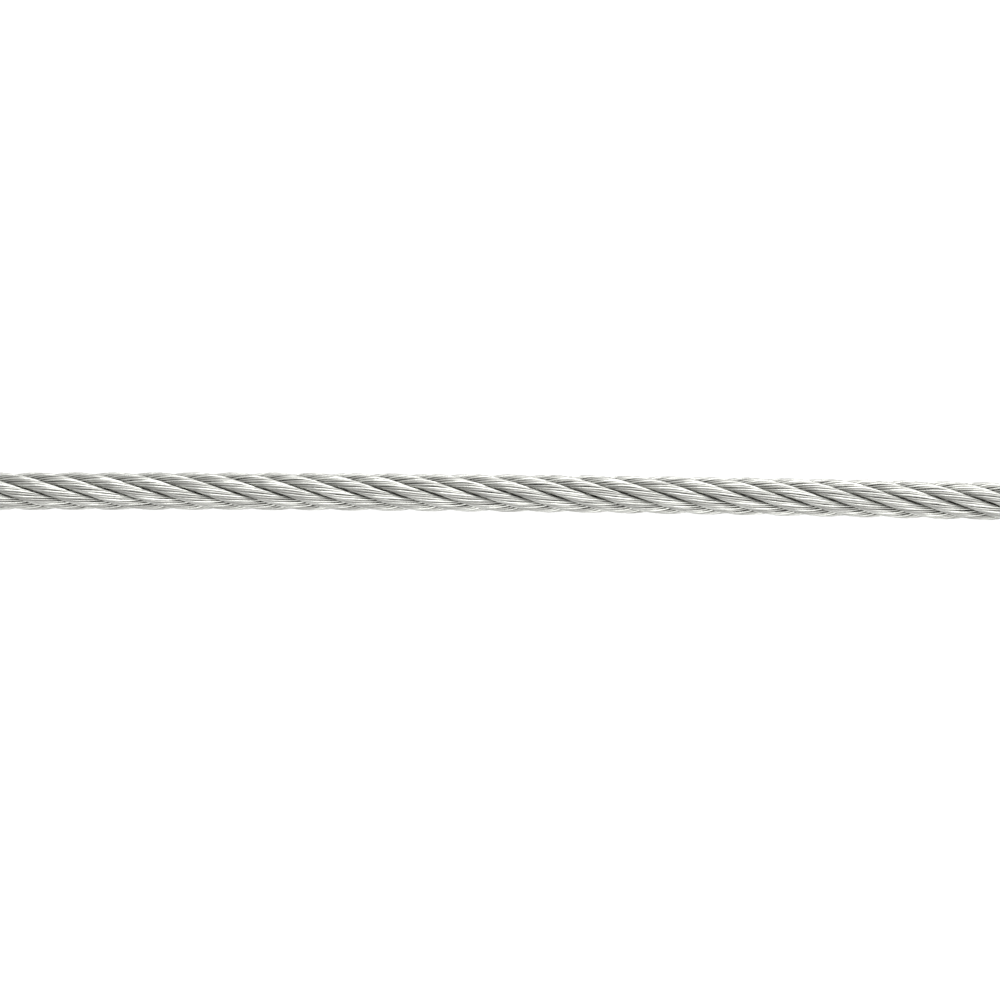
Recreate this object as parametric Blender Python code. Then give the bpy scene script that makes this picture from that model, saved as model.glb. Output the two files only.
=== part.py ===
# A metre of galvanised steel wire rope: six strands laid round a core strand.
# One end runs out straight and the rest lies in a neat round coil, held by three wire ties.
# It lies on the floor, with +X from the cut end towards the coil and +Z up.
import math

import bmesh
import bpy
import numpy as np

mm = 0.001

# Rope
rope_diameter = 6.0 * mm
strand_diameter = 1.9 * mm
core_strand_diameter = 2.0 * mm
strand_count = 6
lay_length = 37.4 * mm      # the way along the rope in which a strand goes once round
lay_start = 33.9            # degrees round the rope of the first strand at the cut end
strand_sides = 8
steps_per_lay = 12

# Coil
coil_radius = 35.0 * mm     # from the coil's axis to the rope's centre in the outer turns
turns_across = 2
turns_high = 2
valley_angle = 50.0         # degrees of a turn's side that its neighbour hides
arc_steps = 4
coil_steps = 48

# Ties
tie_wire = 1.0 * mm
tie_turns = 3
tie_pitch = 1.1 * mm        # from one turn of a tie to the next
tie_places = (36, 138, 240)  # degrees round the coil, clockwise from +Y seen from above
steps_per_tie_turn = 12

gap = 0.3 * mm              # between a tie and the coil, and between the run and the coil

# The run's route, from the cut end to where the coil begins. Each point has its place along X
# from the coil's axis, its place past the tangent of the outer turns, both in millimetres, and
# its share of the coil's height above the floor.
run_route = [
    (-213.75, 4.00, 0.0),
    (-195.0, 4.05, 0.0),
    (-177.0, 4.04, 0.0),
    (-159.0, 3.98, 0.0),
    (-141.0, 3.86, 0.0),
    (-123.0, 3.69, 0.02),
    (-105.0, 3.47, 0.09),
    (-87.0, 3.19, 0.21),
    (-69.0, 2.86, 0.38),
    (-51.5, 2.48, 0.58),
    (-35.5, 2.09, 0.76),
    (-21.5, 1.71, 0.89),
    (-9.5, 1.35, 0.97),
    (0.5, 0.59, 1.0),
    (10.0, -1.43, 1.0),
]
run_end = (27, 42, 57, 72)  # degrees round the coil of its last points, on the outer turns' circle

# What follows from the sizes
rope_radius = rope_diameter / 2
helix_radius = (rope_diameter - strand_diameter) / 2
coil_lift = tie_wire + gap
ring_radius = coil_radius + rope_radius
bundle_width = turns_across * rope_diameter
bundle_height = turns_high * rope_diameter
bundle_radius = ring_radius - bundle_width / 2
bundle_level = coil_lift + bundle_height / 2


def clear_scene():
    for thing in list(bpy.data.objects):
        bpy.data.objects.remove(thing)


def steel(name, colour, roughness):
    # Bare zinc-coated steel: a metal with a soft grey shine.
    material = bpy.data.materials.new(name)
    material.use_nodes = True
    shader = material.node_tree.nodes["Principled BSDF"]
    shader.inputs["Base Color"].default_value = (*colour, 1.0)
    shader.inputs["Metallic"].default_value = 1.0
    shader.inputs["Roughness"].default_value = roughness
    return material


def add_mesh(name, shape, material):
    # Turns the bmesh into an object with all its faces outwards.
    bmesh.ops.recalc_face_normals(shape, faces=shape.faces)
    mesh = bpy.data.meshes.new(name)
    shape.to_mesh(mesh)
    shape.free()
    mesh.materials.append(material)
    body = bpy.data.objects.new(name, mesh)
    bpy.context.scene.collection.objects.link(body)
    return body


def loft(name, rings, material):
    # Joins equal rings of points one after the other and closes both ends.
    shape = bmesh.new()
    rows = [[shape.verts.new(point) for point in ring] for ring in rings]
    count = len(rows[0])
    for first, second in zip(rows, rows[1:]):
        for i in range(count):
            j = (i + 1) % count
            shape.faces.new((first[i], first[j], second[j], second[i]))
    shape.faces.new(rows[0][::-1])
    shape.faces.new(rows[-1])
    return add_mesh(name, shape, material)


def smooth_curve(points, places):
    # A natural cubic spline through the points, read at places along the chords between them.
    chords, knots = chords_of(points)
    slopes = np.diff(points, axis=0) / chords[:, None]
    system = np.eye(len(points))
    known = np.zeros(points.shape)
    for i in range(1, len(points) - 1):
        system[i, i - 1:i + 2] = (chords[i - 1], 2 * (chords[i - 1] + chords[i]), chords[i])
        known[i] = 6 * (slopes[i] - slopes[i - 1])
    bends = np.linalg.solve(system, known)
    i = np.clip(np.searchsorted(knots, places) - 1, 0, len(chords) - 1)
    after = ((places - knots[i]) / chords[i])[:, None]
    before = 1 - after
    pull = ((before ** 3 - before) * bends[i] + (after ** 3 - after) * bends[i + 1]) / 6
    return before * points[i] + after * points[i + 1] + pull * (chords[i] ** 2)[:, None]


def chords_of(points):
    # The lengths between neighbouring points, and how far along them each point lies.
    chords = np.linalg.norm(np.diff(points, axis=0), axis=1)
    return chords, np.concatenate([[0.0], np.cumsum(chords)])


def coil_point(degrees, radius, height):
    # A point round the coil's axis, clockwise from +Y seen from above.
    angle = math.radians(degrees)
    return (radius * math.sin(angle), radius * math.cos(angle), height)


def run_centreline():
    # The rope's centre from the cut end to where the rope comes up against the coil, and how
    # far along the rope each of its points lies.
    points = [
        (x * mm, coil_radius + past * mm, rope_radius + share * coil_lift)
        for x, past, share in run_route
    ]
    points += [coil_point(a, coil_radius, rope_radius + coil_lift) for a in run_end]
    points = np.array(points)
    places = np.arange(0.0, chords_of(points)[1][-1], gap)
    line = smooth_curve(points, places)
    from_axis = np.hypot(line[:, 0], line[:, 1])
    touching = from_axis - rope_radius - gap < ring_radius
    end = places[int(np.argmax(touching))]
    steps = math.ceil(end / lay_length * steps_per_lay)
    places = np.linspace(0.0, end, steps + 1)
    return smooth_curve(points, places), places


def strand_rings(line, places, start, radius, thickness):
    # The outline of one strand at each step, in the plane across the rope. The strand slants
    # there, so its round section is a little longer round the rope than out from its centre.
    along = np.gradient(line, axis=0)
    along /= np.linalg.norm(along, axis=1)[:, None]
    left = np.cross((0.0, 0.0, 1.0), along)
    left /= np.linalg.norm(left, axis=1)[:, None]
    up = np.cross(along, left)
    turn = math.radians(start) + 2 * math.pi * places / lay_length
    out = np.cos(turn)[:, None] * left + np.sin(turn)[:, None] * up
    around = np.cos(turn)[:, None] * up - np.sin(turn)[:, None] * left
    slant = math.hypot(1.0, 2 * math.pi * radius / lay_length)
    sides = 2 * math.pi * np.arange(strand_sides) / strand_sides
    across = thickness / 2 * np.cos(sides)[None, :, None] * out[:, None, :]
    around = slant * thickness / 2 * np.sin(sides)[None, :, None] * around[:, None, :]
    return (line + radius * out)[:, None, :] + across + around


def make_strands(material):
    line, places = run_centreline()
    loft("core_strand", strand_rings(line, places, 0.0, 0.0, core_strand_diameter), material)
    for i in range(strand_count):
        start = lay_start + 360.0 / strand_count * i
        rings = strand_rings(line, places, start, helix_radius, strand_diameter)
        loft(f"outer_strand_{i + 1}", rings, material)


def coil_outline():
    # The bundle's outline across the turns, as distance out from the coil's axis and height.
    # Each outermost turn shows as an arc, and a short flat joins it to the next one.
    def lobe(across, high, first, last):
        centre_out = coil_radius - (turns_across - 1 - across) * rope_diameter
        centre_up = coil_lift + rope_radius + high * rope_diameter
        angles = np.radians(np.linspace(first, last, arc_steps))
        return [
            (centre_out + rope_radius * math.cos(a), centre_up + rope_radius * math.sin(a))
            for a in angles
        ]

    def side(places, facing):
        # Lobes along one side. The first and last of them reach round the corner.
        points = []
        for number, (across, high) in enumerate(places):
            first = facing - 90 + valley_angle if number else facing - 45
            last = facing + 90 - valley_angle if number < len(places) - 1 else facing + 45
            points += lobe(across, high, first, last)[:None if number < len(places) - 1 else -1]
        return points

    outer, top = turns_across - 1, turns_high - 1
    below = [(i, 0) for i in range(turns_across)]
    outside = [(outer, i) for i in range(turns_high)]
    above = [(outer - i, top) for i in range(turns_across)]
    inside = [(0, top - i) for i in range(turns_high)]
    return side(below, -90) + side(outside, 0) + side(above, 90) + side(inside, 180)


def make_coil(material):
    # One solid, turned round the coil's axis.
    shape = bmesh.new()
    corners = [shape.verts.new((out, 0.0, up)) for out, up in coil_outline()]
    edges = [shape.edges.new(pair) for pair in zip(corners, corners[1:] + corners[:1])]
    bmesh.ops.spin(shape, geom=corners + edges, cent=(0, 0, 0), axis=(0, 0, 1), dvec=(0, 0, 0),
                   angle=2 * math.pi, steps=coil_steps, use_duplicate=False)
    bmesh.ops.remove_doubles(shape, verts=shape.verts, dist=0.001 * mm)
    return add_mesh("coil", shape, material)


def make_tie(name, degrees, material):
    # A wire wound round the bundle in whole turns, so that both its ends lie in the coil's bore.
    # Its path is a circle of the corner's radius, pulled apart along both sides of the bundle.
    reach = tie_wire / 2 + gap
    corner = rope_radius + reach
    half_width = bundle_width / 2 + reach - corner
    half_height = bundle_height / 2 + reach - corner
    centre = np.array(coil_point(degrees, bundle_radius, bundle_level))
    out = np.array(coil_point(degrees, 1.0, 0.0))
    along = np.array(coil_point(degrees + 90, 1.0, 0.0))
    points = []
    for i in range(steps_per_tie_turn * tie_turns + 1):
        turned = i / steps_per_tie_turn
        angle = math.pi + 2 * math.pi * turned
        side_x, side_z = math.cos(angle), math.sin(angle)
        x = corner * side_x + half_width * max(-1.0, min(1.0, 2 * side_x))
        z = corner * side_z + half_height * max(-1.0, min(1.0, 2 * side_z))
        shift = (turned - tie_turns / 2) * tie_pitch
        points.append(centre + x * out + shift * along + np.array((0.0, 0.0, z)))
    curve = bpy.data.curves.new(name, "CURVE")
    curve.dimensions = "3D"
    curve.bevel_depth = tie_wire / 2
    curve.bevel_resolution = 1
    curve.use_fill_caps = True
    spline = curve.splines.new("POLY")
    spline.points.add(len(points) - 1)
    for place, point in zip(spline.points, points):
        place.co = (*point, 1.0)
    curve.materials.append(material)
    tie = bpy.data.objects.new(name, curve)
    bpy.context.scene.collection.objects.link(tie)


def stand_on_origin():
    # Moves the part, so that the middle of its box's underside is the origin.
    bpy.context.view_layer.update()
    corners = [corner for body in bpy.context.scene.objects for corner in body.bound_box]
    low, high = np.min(corners, axis=0), np.max(corners, axis=0)
    for body in bpy.context.scene.objects:
        body.location = (-(low[0] + high[0]) / 2, -(low[1] + high[1]) / 2, -low[2])


clear_scene()
rope_steel = steel("galvanised_rope_wire", (0.46, 0.46, 0.44), 0.38)
tie_steel = steel("galvanised_tie_wire", (0.40, 0.40, 0.39), 0.45)
make_strands(rope_steel)
make_coil(rope_steel)
for number, place in enumerate(tie_places, 1):
    make_tie(f"tie_{number}", place, tie_steel)
stand_on_origin()
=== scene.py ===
import math
import bpy
import numpy as np
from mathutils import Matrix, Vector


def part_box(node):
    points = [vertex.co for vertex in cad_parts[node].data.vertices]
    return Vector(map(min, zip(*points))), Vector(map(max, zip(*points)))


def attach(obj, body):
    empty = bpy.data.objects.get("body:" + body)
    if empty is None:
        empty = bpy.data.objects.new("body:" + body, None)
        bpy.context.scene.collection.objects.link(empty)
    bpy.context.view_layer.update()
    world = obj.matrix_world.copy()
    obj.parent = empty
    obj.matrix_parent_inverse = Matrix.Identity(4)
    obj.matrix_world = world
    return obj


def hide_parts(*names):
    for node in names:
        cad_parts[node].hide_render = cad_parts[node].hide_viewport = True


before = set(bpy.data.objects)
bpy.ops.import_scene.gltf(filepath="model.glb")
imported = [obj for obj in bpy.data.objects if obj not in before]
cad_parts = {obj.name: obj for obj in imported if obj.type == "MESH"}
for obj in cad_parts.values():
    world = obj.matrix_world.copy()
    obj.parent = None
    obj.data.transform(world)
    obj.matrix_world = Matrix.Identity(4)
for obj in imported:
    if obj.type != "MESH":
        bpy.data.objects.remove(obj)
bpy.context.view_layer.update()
print("solids loaded:", len(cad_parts))

mm = 0.001

# The rope. Six strands of nineteen wires lie round a core strand, right-handed, and the wires
# wind the other way round their strand, so that they run nearly straight along the rope.
rope = {
    "diameter": 6.0 * mm,
    "length": 1000.0 * mm,
    "lay": 37.4 * mm,           # one turn of a strand round the rope
    "layStart": 33.9,           # degrees round the rope of the first strand at the cut end
    "strands": 6,
    "strandDiameter": 1.9 * mm,
    "wireDiameter": 0.38 * mm,
    "wireLay": 12.2 * mm,       # one turn of a wire round its strand
    "firstWire": (0, 1),        # a strand's first wire starts between these angles, in radians
    "outerWires": 12,
    "middleWires": 6,
    "wireSides": 6,
    "centreStep": 0.1 * mm,     # from one point of the rope's centreline to the next
    "sight": 0.5 * mm,          # its direction is read from this far behind to this far ahead
    "runStep": 0.9 * mm,        # from one section to the next along the straight run
    "coilStep": 1.3 * mm,       # and along the coil
    "runEnd": 212.0 * mm,       # where the straight run gives way to the coil
    "pathStep": 4 * mm,
    "stubLength": 5.0 * mm,     # how far the inner wires are made in from a cut end
    "coreInset": 1.0 * mm,      # how far the core strand's plain tube stays back from a cut end
    "coreStep": 3 * mm,
    "coreSides": 12,
    "wander": 0.03 * mm,        # how far a wire strays from its place
    "straying": (7 * mm, 23 * mm),  # between these lengths of rope it strays out and back
    "quicker": 1.7,             # how much shorter the second of its sideways waves is
    "seed": 7,
}

# The coil of what the photograph doesn't show, two turns by two.
coil = {
    "radius": 35.0 * mm,        # to the rope's centre in the outer turns
    "lift": 1.3 * mm,           # the ties under it hold it off the floor
    "start": 27.0,              # degrees round the coil, clockwise from +Y seen from above
    "end": 1425.0,
    "step": 15.0,
    "crossings": 4,
    "crossingFrom": 250.0,      # in each turn the rope crosses to its next place from here
    "crossingTo": 375.0,        # to here
}

# The run from the cut end to the coil, as in the solids: place along X from the coil's axis and
# place past the outer turns' tangent, both in millimetres, and share of the coil's lift.
runRoute = [
    (-213.75, 4.00, 0.0),
    (-195.0, 4.05, 0.0),
    (-177.0, 4.04, 0.0),
    (-159.0, 3.98, 0.0),
    (-141.0, 3.86, 0.0),
    (-123.0, 3.69, 0.02),
    (-105.0, 3.47, 0.09),
    (-87.0, 3.19, 0.21),
    (-69.0, 2.86, 0.38),
    (-51.5, 2.48, 0.58),
    (-35.5, 2.09, 0.76),
    (-21.5, 1.71, 0.89),
    (-9.5, 1.35, 0.97),
    (0.5, 0.59, 1.0),
    (10.0, -1.43, 1.0),
]

ropeRadius = rope["diameter"] / 2
coilLow, coilHigh = (np.array(corner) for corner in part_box("coil"))
coilAxis = (coilLow + coilHigh) / 2 * (1, 1, 0)


def unit(vectors):
    # Each vector divided by its own length.
    return vectors / np.linalg.norm(vectors, axis=-1, keepdims=True)


def smoothCurve(points, spacing):
    # A natural cubic spline: on each span the curve is the straight line between its two points
    # plus a cubic pull, and one set of equations makes slope and bend agree where spans meet.
    spans = np.linalg.norm(np.diff(points, axis=0), axis=1)
    knots = np.concatenate([[0.0], np.cumsum(spans)])
    slopes = np.diff(points, axis=0) / spans[:, None]
    inner = len(points) - 2
    system = np.diag(2 * (spans[:-1] + spans[1:]))
    system += np.diag(spans[1:-1], 1) + np.diag(spans[1:-1], -1)
    bends = np.zeros(points.shape)
    bends[1:inner + 1] = np.linalg.solve(system, 6 * np.diff(slopes, axis=0))
    places = np.arange(0.0, knots[-1], spacing)
    span = np.clip(np.searchsorted(knots, places, side="right") - 1, 0, len(spans) - 1)
    after = ((places - knots[span]) / spans[span])[:, None]
    before = 1 - after
    pull = (before ** 3 - before) * bends[span] + (after ** 3 - after) * bends[span + 1]
    return before * points[span] + after * points[span + 1] + pull * spans[span, None] ** 2 / 6


def coilTurns():
    # The rope's centre along the coil. In each turn it crosses a quarter of the way round the
    # middle of the bundle: from outside low to inside low, inside high and outside high. With s
    # as the share of a crossing that is done, it has turned by s s (3 - 2 s) of that quarter.
    degrees = np.arange(coil["start"], coil["end"], coil["step"])
    width = coil["crossingTo"] - coil["crossingFrom"]
    turns = np.arange(coil["crossings"])[:, None]
    share = np.clip((degrees - coil["crossingFrom"] - 360 * turns) / width, 0, 1)
    quarters = (share * share * (3 - 2 * share)).sum(axis=0)
    corner = np.radians(-45 - 90 * quarters)
    reach = ropeRadius * math.sqrt(2)
    out = coil["radius"] - ropeRadius + reach * np.cos(corner)
    up = coil["lift"] + rope["diameter"] + reach * np.sin(corner)
    angle = np.radians(degrees)
    return np.stack([out * np.sin(angle), out * np.cos(angle), up], axis=1)


def ropeRoute():
    # The whole centreline, and how far along it each of its points lies: the sum of the steps
    # up to there.
    run = np.array(runRoute) * (mm, mm, coil["lift"]) + (0, coil["radius"], ropeRadius)
    line = smoothCurve(np.concatenate([run, coilTurns()]), rope["centreStep"]) + coilAxis
    along = np.concatenate([[0.0], np.cumsum(np.linalg.norm(np.diff(line, axis=0), axis=1))])
    return along, line


routeAlong, routeLine = ropeRoute()
print("route:", round(float(routeAlong[-1]), 4), "m, of which", rope["length"], "is used")


def centreAt(stations):
    # The rope's centre at each station, between the two nearest points of the centreline.
    return np.stack([np.interp(stations, routeAlong, axis) for axis in routeLine.T], axis=1)


def alongRope(stations):
    # The rope's centre at each station, with the directions to its left and up. The rope's own
    # direction is from its centre a little behind to that a little ahead. Left is the cross
    # product of the vertical and that direction, and up is that of the direction and left.
    along = unit(centreAt(stations + rope["sight"]) - centreAt(stations - rope["sight"]))
    left = unit(np.cross((0.0, 0.0, 1.0), along))
    return centreAt(stations), left, np.cross(along, left)


def tubes(centres, outward, radius, sides):
    # A circle carried along each path: centre + radius (cos t out + sin t across), where out is
    # the given direction squared up to the path, and across stands square to both.
    along = unit(np.gradient(centres, axis=-2))
    out = unit(outward - (outward * along).sum(axis=-1, keepdims=True) * along)
    across = np.cross(along, out)
    turn = 2 * math.pi * np.arange(sides) / sides
    ring = np.cos(turn)[:, None] * out[..., None, :] + np.sin(turn)[:, None] * across[..., None, :]
    return centres[..., None, :] + radius * ring


def meshOfTubes(name, groups, tones, material):
    # Each group holds tubes as points [tube, station, side]. Neighbouring points become faces,
    # and each tube is closed by a flat face at either end.
    points, corners, counts, smooth, values, start = [], [], [], [], [], 0
    for group, tone in zip(groups, tones):
        number, stations, sides = group.shape[:3]
        index = start + np.arange(number * stations * sides).reshape(number, stations, sides)
        beside = np.roll(index, -1, axis=2)
        walls = np.stack([index[:, :-1], beside[:, :-1], beside[:, 1:], index[:, 1:]], axis=-1)
        caps = np.concatenate([index[:, 0, ::-1], index[:, -1]])
        points.append(group.reshape(-1, 3))
        corners += [walls.ravel(), caps.ravel()]
        counts += [np.full(walls.size // 4, 4), np.full(len(caps), sides)]
        smooth += [np.ones(walls.size // 4, bool), np.zeros(len(caps), bool)]
        values.append(np.repeat(tone, stations * sides))
        start += index.size
    points, corners, counts = (np.concatenate(rows) for rows in (points, corners, counts))
    mesh = bpy.data.meshes.new(name)
    mesh.vertices.add(len(points))
    mesh.vertices.foreach_set("co", points.astype(np.float32).ravel())
    mesh.loops.add(len(corners))
    mesh.loops.foreach_set("vertex_index", corners.astype(np.int32))
    mesh.polygons.add(len(counts))
    mesh.polygons.foreach_set("loop_start", (np.cumsum(counts) - counts).astype(np.int32))
    mesh.polygons.foreach_set("use_smooth", np.concatenate(smooth))
    mesh.update(calc_edges=True)
    mesh.attributes.new("wireTone", "FLOAT", "POINT").data.foreach_set(
        "value", np.concatenate(values).astype(np.float32))
    mesh.materials.append(material)
    piece = bpy.data.objects.new(name, mesh)
    bpy.context.scene.collection.objects.link(piece)
    return piece


def linear(hexColour):
    # An sRGB hex colour as linear red, green, blue and alpha.
    values = np.array([int(hexColour[i:i + 2], 16) for i in (1, 3, 5)]) / 255
    values = np.where(values <= 0.04045, values / 12.92, ((values + 0.055) / 1.055) ** 2.4)
    return (*values.tolist(), 1.0)


def addNode(tree, kind, settings=None, inputs=None, links=None):
    # One node, with its settings, the values of its inputs and what is linked to them.
    node = tree.nodes.new(kind)
    for key, value in (settings or {}).items():
        setattr(node, key, value)
    for key, value in (inputs or {}).items():
        node.inputs[key].default_value = value
    for key, socket in (links or {}).items():
        tree.links.new(socket, node.inputs[key])
    return node


zinc = {
    "dull": "#A4A4A0",      # where the coating has gone matt
    "bright": "#DFE0DB",    # where the die left it shiny
    "roughDull": 0.36,
    "roughBright": 0.17,
    "patch": 1.6 * mm,      # usual length of a matt or shiny patch
    "patchDetail": 3.0,
    "patchShare": 0.5,      # how much the patches count beside the wires' own tones
    "dullFrom": 0.05,       # the sum of both at which the zinc is fully dull
    "brightFrom": 0.65,     # and fully bright
    "contrast": 0.29,       # how far the tones of a strand's wires reach from the middle one
    "uneven": 0.06,         # and how far each of them is off at random
    "deal": 5,              # how many places in the order of tones each wire is past the last
}


def hotDipGalvanisedDrawnWire():
    # Steel wire dipped in zinc and drawn through a die: a pale neutral grey metal with a soft
    # shine, in which some wires and stretches of wire are duller than others.
    material = bpy.data.materials.new("hotDipGalvanisedDrawnWire")
    material.use_nodes = True
    tree = material.node_tree
    shader = tree.nodes["Principled BSDF"]
    place = addNode(tree, "ShaderNodeTexCoord").outputs["Object"]
    patches = addNode(tree, "ShaderNodeTexNoise",
                      inputs={"Scale": 1 / zinc["patch"], "Detail": zinc["patchDetail"]},
                      links={"Vector": place})
    tone = addNode(tree, "ShaderNodeAttribute", {"attribute_name": "wireTone"})
    both = addNode(tree, "ShaderNodeMath", {"operation": "MULTIPLY_ADD"}, {1: zinc["patchShare"]},
                   {0: patches.outputs["Fac"], 2: tone.outputs["Fac"]})
    colour = addNode(tree, "ShaderNodeValToRGB", links={"Fac": both.outputs[0]})
    ramp = colour.color_ramp.elements
    ramp[0].position, ramp[0].color = zinc["dullFrom"], linear(zinc["dull"])
    ramp[1].position, ramp[1].color = zinc["brightFrom"], linear(zinc["bright"])
    rough = addNode(tree, "ShaderNodeMapRange",
                    inputs={"From Min": zinc["dullFrom"], "From Max": zinc["brightFrom"],
                            "To Min": zinc["roughDull"], "To Max": zinc["roughBright"]},
                    links={"Value": both.outputs[0]})
    tree.links.new(colour.outputs["Color"], shader.inputs["Base Color"])
    tree.links.new(rough.outputs["Result"], shader.inputs["Roughness"])
    shader.inputs["Metallic"].default_value = 1.0
    return material


# The camera looks straight down, as in the photograph, in which the rope crosses the whole frame.
photo = {
    "width": 1000,              # pixels
    "ropeAcross": 38.0,         # pixels
    "rightEdge": -40.0 * mm,    # from the coil's axis
    "ropeInMiddle": 493.1,      # pixels down to the rope's centre, halfway across
    "roll": -0.08,              # degrees
    "lens": 100.0,              # millimetres
}


def makeCamera():
    # One pixel is the rope's diameter over its pixels across. The camera stands half the frame's
    # width in from its right edge, and above the rope's centre by that width times the lens over
    # the sensor's width. The rope's centre lies as far off the frame's middle as in the photograph.
    pixel = rope["diameter"] / photo["ropeAcross"]
    middle = coilAxis[0] + photo["rightEdge"] - photo["width"] / 2 * pixel
    run = routeAlong < rope["runEnd"]
    ropeY = float(np.interp(middle, routeLine[run, 0], routeLine[run, 1]))
    data = bpy.data.cameras.new("photoCamera")
    data.lens = photo["lens"]
    camera = bpy.data.objects.new("photoCamera", data)
    away = photo["width"] * pixel * data.lens / data.sensor_width
    down = (photo["width"] / 2 - photo["ropeInMiddle"]) * pixel
    camera.location = (middle, ropeY - down, ropeRadius + away)
    camera.rotation_euler = (0, 0, math.radians(photo["roll"]))
    bpy.context.scene.collection.objects.link(camera)
    bpy.context.scene.camera = camera


makeCamera()
print("camera placed")

wireSteel = hotDipGalvanisedDrawnWire()
random = np.random.default_rng(rope["seed"])


def stationsAlong(start, end, step):
    # Places from start to end, evenly apart. Their number is the length over the step, rounded,
    # and one more, so both ends are among them.
    return np.linspace(start, end, max(2, int(round((end - start) / step)) + 1))


# The lengths at the two cut ends in which the inner wires are made too.
stubs = [stationsAlong(0, rope["stubLength"], rope["coilStep"]),
         stationsAlong(rope["length"] - rope["stubLength"], rope["length"], rope["coilStep"])]


def strandFrame(stations, number):
    # The strand's centre, its outward direction from the rope's axis and the one across that.
    # It winds round the rope's axis: centre + radius (cos a left + sin a up), a by the lay.
    # The core strand has no number and lies on the axis.
    centre, left, up = alongRope(stations)
    start = rope["layStart"] + 360 / rope["strands"] * (number or 0)
    angle = (math.radians(start) + 2 * math.pi * stations / rope["lay"])[:, None]
    out = np.cos(angle) * left + np.sin(angle) * up
    radius = 0 if number is None else (rope["diameter"] - rope["strandDiameter"]) / 2
    line = centre + radius * out
    along = unit(np.gradient(line, axis=0))
    out = unit(out - (out * along).sum(axis=-1, keepdims=True) * along)
    return line, out, np.cross(along, out)


def strandWires(stations, number, count, radius, phase, wander):
    # The centres of a strand's wires, each winding backwards round the strand's own centre:
    # centre + reach (cos b out + sin b across), where b falls by a turn for each wire lay. Two
    # slow waves sway each wire sideways. A third draws it in: reach is radius - wander (1 + sin)
    # / 2, so no wire stands out of its strand. The fourth row of waves isn't used, and is drawn so
    # that the random numbers after it stay the same for a seed.
    line, out, across = strandFrame(stations, number)
    wave = random.uniform(0, 2 * math.pi, (4, count, 1))
    length = random.uniform(*rope["straying"], (2, count, 1))
    sway = np.sin(2 * math.pi * stations / length[0] + wave[0])
    sway += np.sin(2 * math.pi * stations / length[1] * rope["quicker"] + wave[1])
    place = 2 * math.pi * np.arange(count)[:, None] / count + phase
    turn = place - 2 * math.pi * stations / rope["wireLay"]
    turn = (turn + wander * sway / max(radius, wander + 1e-9))[..., None]
    drawnIn = 1 + np.sin(2 * math.pi * stations / length[1] + wave[2])
    reach = radius - wander * drawnIn[..., None] / 2
    outward = np.cos(turn) * out + np.sin(turn) * across
    return line + reach * outward, outward


def wireTones(count):
    # How bright each of a strand's wires is: contrast ((2 order + 1) / count - 1) and a little off
    # that. The order grows by several places from each wire to the next, so that dull and bright
    # wires lie side by side.
    order = (zinc["deal"] * np.arange(count) + random.integers(count)) % count
    off = random.uniform(-zinc["uneven"], zinc["uneven"], count)
    return zinc["contrast"] * ((2 * order + 1) / count - 1) + off


def makeStrand(name, number):
    # The twelve outer wires run the whole length, and the inner ones show only at the cut ends.
    whole = np.concatenate([stationsAlong(0, rope["runEnd"], rope["runStep"]),
                            stationsAlong(rope["runEnd"], rope["length"], rope["coilStep"])[1:]])
    wire = rope["wireDiameter"]
    radius = rope["strandDiameter"] / 2 - wire / 2
    phase = random.uniform(*rope["firstWire"])
    layers = [(whole, rope["outerWires"], radius, rope["wander"])]
    layers += [(stub, rope["middleWires"], wire, 0) for stub in stubs]
    layers += [(stub, 1, 0, 0) for stub in stubs]
    groups, tones = [], []
    for stations, count, reach, wander in layers:
        centres, outward = strandWires(stations, number, count, reach, phase, wander)
        groups.append(tubes(centres, outward, wire / 2, rope["wireSides"]))
        tones.append(wireTones(count))
    return meshOfTubes(name, groups, tones, wireSteel)


strands = [makeStrand(f"strandWires{i + 1}", i) for i in range(rope["strands"])]
print("outer strands made:", len(strands))


def makeCoreStrand():
    # Only its ends show, so a plain tube fills it between two short lengths of real wires.
    wire = rope["wireDiameter"]
    middle = stationsAlong(rope["coreInset"], rope["length"] - rope["coreInset"], rope["coreStep"])
    line, out, _ = strandFrame(middle, None)
    radius = rope["strandDiameter"] / 2 - wire / 2
    groups = [tubes(line[None], out[None], radius, rope["coreSides"])]
    tones = [np.zeros(1)]
    for stub in stubs:
        for count, reach in ((rope["outerWires"], 2 * wire), (rope["middleWires"], wire), (1, 0)):
            centres, outward = strandWires(stub, None, count, reach, 0, 0)
            groups.append(tubes(centres, outward, wire / 2, rope["wireSides"]))
            tones.append(wireTones(count))
    return meshOfTubes("coreWires", groups, tones, wireSteel)


core = makeCoreStrand()
print("core strand made")

ties = {
    "wire": 1.0 * mm,
    "turns": 3,
    "pitch": 1.1 * mm,
    "gap": 0.3 * mm,
    "places": (36.0, 138.0, 240.0),     # degrees round the coil
    "turnPoints": 24,                   # points in a turn round the bundle
    "twists": 2.5,                      # turns of the two ends round each other
    "twistLength": 7.0 * mm,
    "twistPoints": 26,
    "root": 0.6 * mm,                   # from the turns to where the twist begins
    "leanOut": -0.35,                   # the twist leans into the bore
    "leanAlong": 0.94,                  # and mostly along the coil
    "spread": 0.52 * mm,                # from the twist's middle to the centre of either end
    "rootSpread": 0.6,                  # the share of that at the twist's root
    "spreadGain": 2,                    # and how fast it grows to the whole
    "routeStep": 0.3 * mm,
    "tilt": 0.03,                       # keeps a section's first direction off the wire's own
    "sides": 12,
    "dull": "#8E8F8E",
    "bright": "#B4B4B0",
    "dullFrom": 0.3,
    "brightFrom": 0.7,
    "roughness": 0.45,
    "patches": 900.0,                   # dull and bright patches to a metre
    "patchDetail": 4.0,
}


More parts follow.
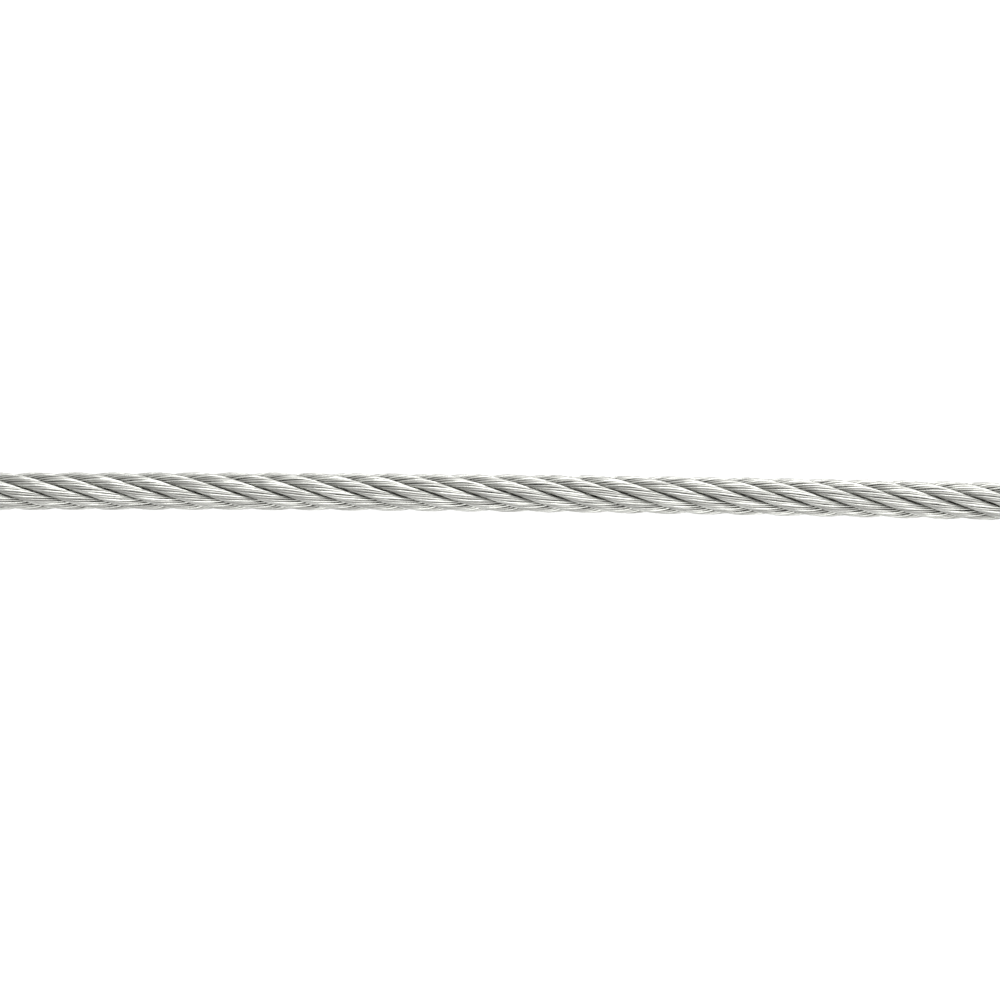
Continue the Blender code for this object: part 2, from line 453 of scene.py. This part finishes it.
def tieRoute(degrees):
    # The wire comes in along the twist, winds round the bundle and goes out along the twist.
    # Round the bundle it is a circle of the corner's radius, pulled apart along both sides, and
    # the twist is a pair of helices round a straight line, half a turn apart.
    angle = math.radians(degrees)
    out = np.array((math.sin(angle), math.cos(angle), 0.0))
    along = np.array((math.cos(angle), -math.sin(angle), 0.0))
    up = np.array((0.0, 0.0, 1.0))
    reach = ties["wire"] / 2 + ties["gap"]
    corner = ropeRadius + reach
    centre = coilAxis + (coil["radius"] - ropeRadius) * out + (coil["lift"] + rope["diameter"]) * up
    turned = (np.arange(ties["turnPoints"] * ties["turns"]) + 0.5) / ties["turnPoints"]
    turn = math.pi + 2 * math.pi * turned
    x = corner * np.cos(turn) + ropeRadius * np.clip(2 * np.cos(turn), -1, 1)
    z = corner * np.sin(turn) + ropeRadius * np.clip(2 * np.sin(turn), -1, 1)
    shift = (turned - ties["turns"] / 2) * ties["pitch"]
    wraps = centre + x[:, None] * out + z[:, None] * up + shift[:, None] * along
    share = np.linspace(0, 1, ties["twistPoints"])
    root = centre - (corner + ropeRadius + ties["root"]) * out
    lean = unit(ties["leanOut"] * out + ties["leanAlong"] * along)
    side = np.cross(up, lean)
    roll = 2 * math.pi * ties["twists"] * share
    spread = ties["spread"] * np.minimum(1, ties["rootSpread"] + share * ties["spreadGain"])
    stem = root + share[:, None] * ties["twistLength"] * lean
    pair = spread[:, None] * (np.cos(roll)[:, None] * up + np.sin(roll)[:, None] * side)
    return np.concatenate([(stem - pair)[::-1], wraps, stem + pair])


def softGalvanisedTieWire():
    # Annealed zinc-coated steel wire: greyer and less shiny than the rope's drawn wires.
    material = bpy.data.materials.new("softGalvanisedTieWire")
    material.use_nodes = True
    tree = material.node_tree
    shader = tree.nodes["Principled BSDF"]
    place = addNode(tree, "ShaderNodeTexCoord").outputs["Object"]
    patches = addNode(tree, "ShaderNodeTexNoise",
                      inputs={"Scale": ties["patches"], "Detail": ties["patchDetail"]},
                      links={"Vector": place})
    colour = addNode(tree, "ShaderNodeValToRGB", links={"Fac": patches.outputs["Fac"]})
    ramp = colour.color_ramp.elements
    ramp[0].position, ramp[0].color = ties["dullFrom"], linear(ties["dull"])
    ramp[1].position, ramp[1].color = ties["brightFrom"], linear(ties["bright"])
    tree.links.new(colour.outputs["Color"], shader.inputs["Base Color"])
    shader.inputs["Metallic"].default_value = 1.0
    shader.inputs["Roughness"].default_value = ties["roughness"]
    return material


tieSteel = softGalvanisedTieWire()


def makeTie(name, degrees):
    # A circle of the wire's radius carried along its route. Its first direction is along the coil,
    # tilted up a little.
    line = smoothCurve(tieRoute(degrees), ties["routeStep"])
    angle = math.radians(degrees)
    along = np.array((math.cos(angle), -math.sin(angle), ties["tilt"]))
    surface = tubes(line[None], np.broadcast_to(along, line[None].shape), ties["wire"] / 2,
                    ties["sides"])
    return meshOfTubes(name, [surface], [np.zeros(1)], tieSteel)


tiePieces = [makeTie(f"tieWire{i + 1}", place) for i, place in enumerate(ties["places"])]
print("ties made:", len(tiePieces))

# Which piece stands for which solid; those solids are hidden. Every strand goes on into the coil,
# which is one solid, so each stands for its own run's solid and for a share of the coil.
for piece in [*strands, core, *tiePieces]:
    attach(piece, "root")
for number, piece in enumerate(strands, 1):
    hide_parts(f"outer_strand_{number}", "coil")
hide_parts("core_strand", "coil")
for number, piece in enumerate(tiePieces, 1):
    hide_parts(f"tie_{number}")

studio = {
    "tent": "#FFFFFF",          # the white tent round the table, and how bright it is
    "tentStrength": 0.88,
    "table": "#7C7C7B",
    "tableHalf": 3.0,           # metres from its middle to each edge
    "tableRoughness": 0.9,
    "tableGlow": 0.9,           # a light table, bright enough to leave no hard shadow
    "distance": 1.2,            # metres from the floor's middle to each softbox
    "panels": {  # degrees from straight above, degrees round from +X, height, width, watts
        "backSoftbox": (42.0, 77.0, 1.1, 1.5, 13.7),
        "sideSoftbox": (66.0, 315.0, 0.95, 1.2, 5.2),
    },
}


def opalLightTable():
    # An opal acrylic table lit from below: evenly white, without texture or hard shadows.
    material = bpy.data.materials.new("opalLightTable")
    material.use_nodes = True
    shader = material.node_tree.nodes["Principled BSDF"]
    shader.inputs["Base Color"].default_value = linear(studio["table"])
    shader.inputs["Roughness"].default_value = studio["tableRoughness"]
    shader.inputs["Emission Color"].default_value = (1.0, 1.0, 1.0, 1.0)
    shader.inputs["Emission Strength"].default_value = studio["tableGlow"]
    return material


def makeStudio():
    # A panel's place: distance (sin a cos b, sin a sin b, cos a), a from above and b round.
    scene = bpy.context.scene
    scene.view_settings.view_transform = "Standard"
    world = bpy.data.worlds.new("whiteTent")
    world.use_nodes = True
    background = world.node_tree.nodes["Background"]
    background.inputs["Color"].default_value = linear(studio["tent"])
    background.inputs["Strength"].default_value = studio["tentStrength"]
    scene.world = world
    half = studio["tableHalf"]
    mesh = bpy.data.meshes.new("lightTable")
    corners = [(-half, -half, 0), (half, -half, 0), (half, half, 0), (-half, half, 0)]
    mesh.from_pydata(corners, [], [(0, 1, 2, 3)])
    mesh.materials.append(opalLightTable())
    table = bpy.data.objects.new("lightTable", mesh)
    scene.collection.objects.link(table)
    for name, (above, around, height, width, power) in studio["panels"].items():
        a, b = math.radians(above), math.radians(around)
        data = bpy.data.lights.new(name, "AREA")
        data.shape = "RECTANGLE"
        data.size, data.size_y = height, width
        data.energy = power
        panel = bpy.data.objects.new(name, data)
        place = np.array((math.sin(a) * math.cos(b), math.sin(a) * math.sin(b), math.cos(a)))
        panel.location = studio["distance"] * place
        panel.rotation_euler = (0, a, b)
        scene.collection.objects.link(panel)


makeStudio()
print("studio lit")
